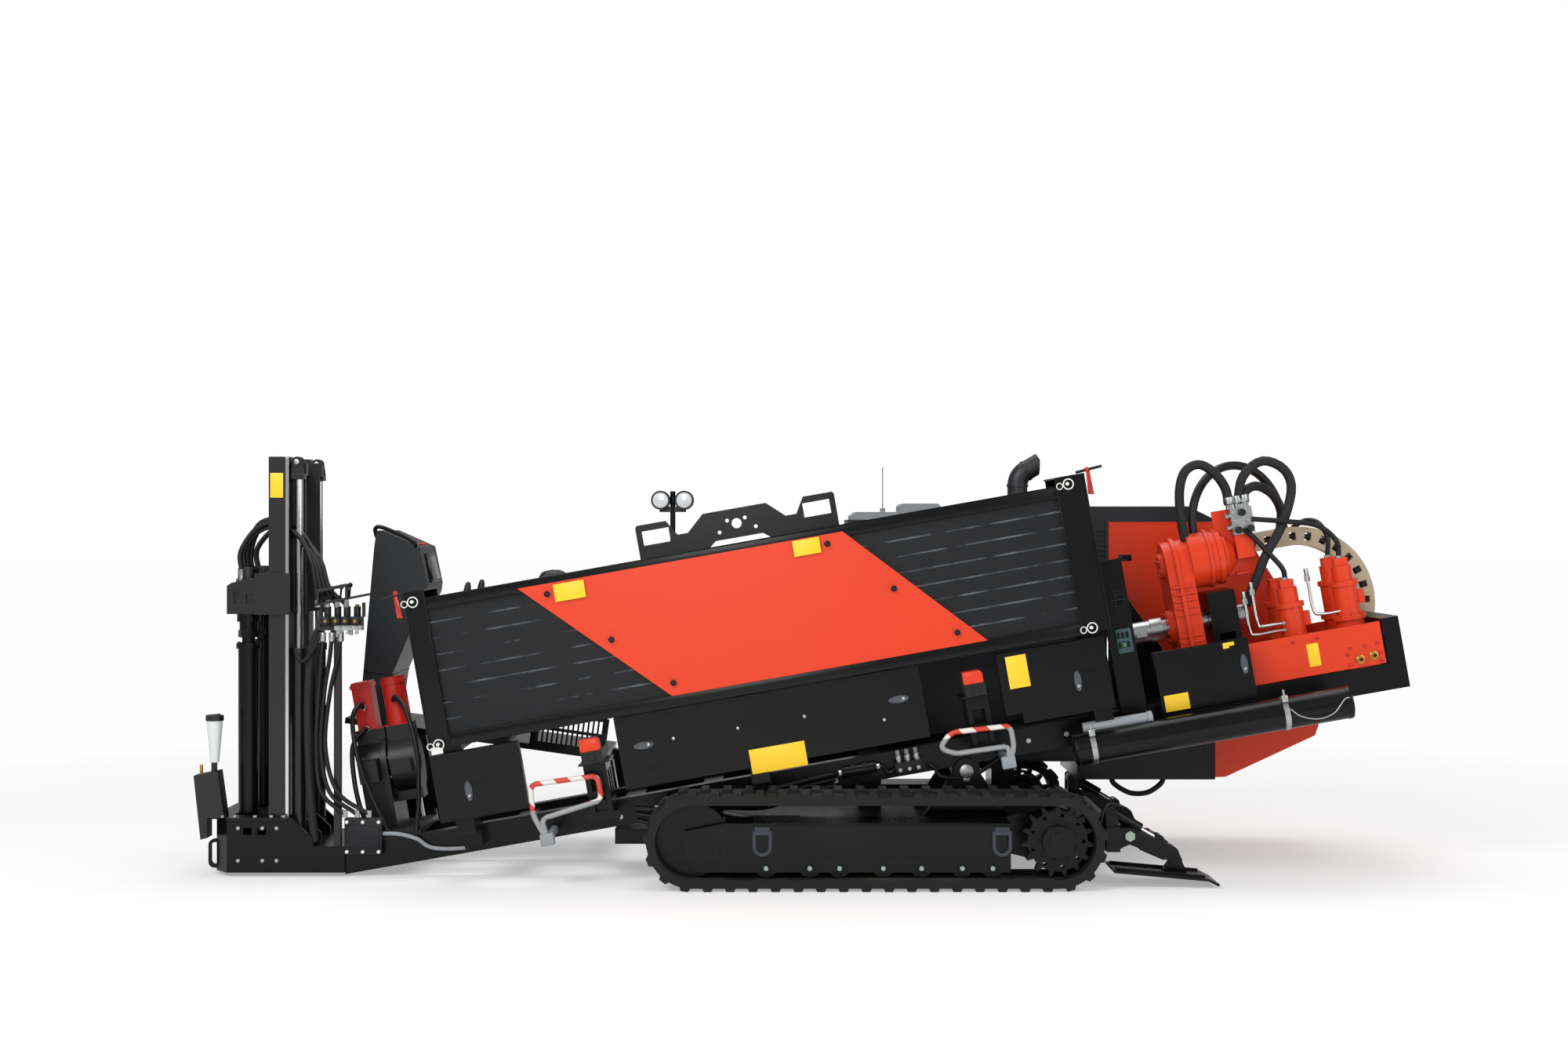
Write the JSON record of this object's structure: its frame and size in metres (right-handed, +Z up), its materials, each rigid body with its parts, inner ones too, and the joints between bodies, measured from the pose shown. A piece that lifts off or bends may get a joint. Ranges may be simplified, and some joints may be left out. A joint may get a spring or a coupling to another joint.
{
  "type": "horizontal directional drill",
  "caption": "Rubber-tracked horizontal directional drill: tilted drill frame with pipe box, thrust carriage, anchor masts with augers, operator's station, engine housing and rear stabilizers",
  "frame": {"origin": "middle of the bounding box on the ground", "axes": "X along the machine, the drilling end at -X and the engine's rear at +X; Y across, the pipe box on the -Y side; Z up"},
  "size_m": [6.0164, 1.9, 2.1157],
  "materials": {
    "carrier_link": "sand-coloured links",
    "cast_iron": "dark castings",
    "chrome": "polished chrome",
    "hood_grey": "moulded dark grey plastic",
    "painted_black": "satin black paint",
    "painted_orange": "orange-red paint",
    "rubber": "black rubber",
    "seat_cover": "grained black vinyl",
    "steel": "machined steel"
  },
  "bodies": {
    "machine": {"chassis": "painted_black", "track_frame_left": "painted_black", "track_frame_right": "painted_black", "running_gear_left": "painted_black", "running_gear_right": "painted_black", "track_left": "rubber", "track_right": "rubber", "engine": "cast_iron", "engine_base": "painted_black", "hood": "painted_orange", "hood_roof": "hood_grey", "front_cowl": "hood_grey", "exhaust": "painted_black", "lamp_post": "painted_black", "roof_boxes": "painted_black"},
    "drill_frame": {"frame_rails": "painted_black", "anchor_base": "painted_black", "masts": "painted_black", "pipe_box": "painted_black", "pipe_box_panels": "painted_black", "orange_panel": "painted_orange", "lift_bracket": "painted_black", "front_cover": "painted_black", "vise": "painted_black", "station_frame": "painted_black", "console": "hood_grey", "operator_seat": "seat_cover", "tool_tube": "painted_black", "front_valves": "painted_black", "outriggers": "painted_black", "anchor_box": "painted_black"},
    "carriage": {"carriage_base": "painted_orange", "gearbox": "painted_orange", "thrust_drives": "painted_orange", "carriage_hoses": "rubber", "hose_carrier": "carrier_link", "carriage_valves": "painted_black", "spindle_guard": "painted_black"},
    "spindle": {"spindle": "steel"},
    "engine_door": {"hood_door": "painted_orange"},
    "long_cover": {"long_cover": "painted_black"},
    "rear_cover": {"rear_cover": "painted_black"},
    "valve_door": {"valve_door": "painted_black"},
    "tilt_barrel": {"tilt_barrel": "painted_black"},
    "tilt_rod": {"tilt_rod": "chrome"},
    "wrench": {"wrench": "painted_black"},
    "shuttle_front": {"shuttle_front": "cast_iron"},
    "shuttle_rear": {"shuttle_rear": "cast_iron"},
    "stabilizer_left": {"stabilizer_left": "painted_black"},
    "foot_left": {"foot_left": "painted_black"},
    "foot_barrel_left": {"foot_barrel_left": "painted_black"},
    "foot_rod_left": {"foot_rod_left": "chrome"},
    "anchor_drive_left": {"anchor_drive_left": "painted_black"},
    "auger_left": {"auger_left": "painted_black"},
    "stabilizer_right": {"stabilizer_right": "painted_black"},
    "foot_right": {"foot_right": "painted_black"},
    "foot_barrel_right": {"foot_barrel_right": "painted_black"},
    "foot_rod_right": {"foot_rod_right": "chrome"},
    "anchor_drive_right": {"anchor_drive_right": "painted_black"},
    "auger_right": {"auger_right": "painted_black"}
  },
  "joints": [
    {"name": "frame_tilt", "type": "hinge", "parent": "machine", "child": "drill_frame", "pos_m": [0.806, -0.21, 0.523], "axis": [0, 1, 0], "range_deg": [0, 7]},
    {"name": "tilt_barrel_swing", "type": "hinge", "parent": "machine", "child": "tilt_barrel", "pos_m": [-0.06, -0.35, 0.2], "axis": [0, 1, 0], "range_deg": [0, 14.19]},
    {"name": "tilt_rod_slide", "type": "slide", "parent": "tilt_barrel", "child": "tilt_rod", "axis": [-0.9808, 0, 0.1953], "range_m": [0, 0.0718]},
    {"name": "carriage_travel", "type": "slide", "parent": "drill_frame", "child": "carriage", "axis": [0.9848, 0, 0.1736], "range_m": [-3.5, 0]},
    {"name": "spindle_turn", "type": "hinge", "parent": "carriage", "child": "spindle", "pos_m": [1.94103, -0.18, 1.22679], "axis": [0.9848, 0, 0.1736], "continuous": true},
    {"name": "shuttle_front_travel", "type": "slide", "parent": "drill_frame", "child": "shuttle_front", "axis": [0, 1, 0], "range_m": [0, 0.42]},
    {"name": "shuttle_rear_travel", "type": "slide", "parent": "drill_frame", "child": "shuttle_rear", "axis": [0, 1, 0], "range_m": [0, 0.421]},
    {"name": "wrench_turn", "type": "hinge", "parent": "drill_frame", "child": "wrench", "pos_m": [-2.00805, -0.18, 0.53046], "axis": [0.9848, 0, 0.1736], "range_deg": [0, 25]},
    {"name": "anchor_drive_left_travel", "type": "slide", "parent": "drill_frame", "child": "anchor_drive_left", "axis": [0, 0, 1], "range_m": [-0.7, 0]},
    {"name": "auger_left_turn", "type": "hinge", "parent": "anchor_drive_left", "child": "auger_left", "pos_m": [-2.7698, -0.335, 1], "axis": [0, 0, 1], "continuous": true},
    {"name": "anchor_drive_right_travel", "type": "slide", "parent": "drill_frame", "child": "anchor_drive_right", "axis": [0, 0, 1], "range_m": [-0.7, 0]},
    {"name": "auger_right_turn", "type": "hinge", "parent": "anchor_drive_right", "child": "auger_right", "pos_m": [-2.7698, -0.025, 1], "axis": [0, 0, 1], "continuous": true},
    {"name": "stabilizer_left_swing", "type": "hinge", "parent": "machine", "child": "stabilizer_left", "pos_m": [1.569, -0.7, 0.24], "axis": [0, -1, 0], "range_deg": [0, 35]},
    {"name": "foot_left_tip", "type": "hinge", "parent": "stabilizer_left", "child": "foot_left", "pos_m": [1.8, -0.7, 0.118], "axis": [0, 1, 0], "range_deg": [-10, 12]},
    {"name": "foot_barrel_left_swing", "type": "hinge", "parent": "machine", "child": "foot_barrel_left", "pos_m": [1.48, -0.7, 0.352], "axis": [0, -1, 0], "range_deg": [0, 18.01]},
    {"name": "foot_rod_left_slide", "type": "slide", "parent": "foot_barrel_left", "child": "foot_rod_left", "axis": [0.8639, 0, -0.5036], "range_m": [-0.0448, 0]},
    {"name": "stabilizer_right_swing", "type": "hinge", "parent": "machine", "child": "stabilizer_right", "pos_m": [1.569, 0.7, 0.24], "axis": [0, -1, 0], "range_deg": [0, 35]},
    {"name": "foot_right_tip", "type": "hinge", "parent": "stabilizer_right", "child": "foot_right", "pos_m": [1.8, 0.7, 0.118], "axis": [0, 1, 0], "range_deg": [-10, 12]},
    {"name": "foot_barrel_right_swing", "type": "hinge", "parent": "machine", "child": "foot_barrel_right", "pos_m": [1.48, 0.7, 0.352], "axis": [0, -1, 0], "range_deg": [0, 18.01]},
    {"name": "foot_rod_right_slide", "type": "slide", "parent": "foot_barrel_right", "child": "foot_rod_right", "axis": [0.8639, 0, -0.5036], "range_m": [-0.0448, 0]},
    {"name": "engine_door_swing", "type": "hinge", "parent": "machine", "child": "engine_door", "pos_m": [0.9, 0.93, 1.742], "axis": [1, 0, 0], "range_deg": [0, 75]},
    {"name": "long_cover_swing", "type": "hinge", "parent": "drill_frame", "child": "long_cover", "pos_m": [-0.18035, -0.8, 0.93397], "axis": [-0.9848, 0, -0.1736], "range_deg": [0, 80]},
    {"name": "rear_cover_swing", "type": "hinge", "parent": "drill_frame", "child": "rear_cover", "pos_m": [1.18146, -0.8, 1.15784], "axis": [-0.9848, 0, -0.1736], "range_deg": [0, 80]},
    {"name": "valve_door_swing", "type": "hinge", "parent": "drill_frame", "child": "valve_door", "pos_m": [1.73286, -0.616, 0.95044], "axis": [0.1736, 0, -0.9848], "range_deg": [0, 100]}
  ],
  "couplings": [
    {"joint": "tilt_barrel_swing", "follows": "frame_tilt", "ratio": 2.0131},
    {"joint": "tilt_rod_slide", "follows": "frame_tilt", "m_per_rad": 0.57941},
    {"joint": "shuttle_rear_travel", "follows": "shuttle_front_travel", "ratio": 1},
    {"joint": "foot_barrel_left_swing", "follows": "stabilizer_left_swing", "ratio": 0.5117},
    {"joint": "foot_rod_left_slide", "follows": "stabilizer_left_swing", "m_per_rad": -0.07173},
    {"joint": "foot_barrel_right_swing", "follows": "stabilizer_right_swing", "ratio": 0.5117},
    {"joint": "foot_rod_right_slide", "follows": "stabilizer_right_swing", "m_per_rad": -0.07173}
  ]
}
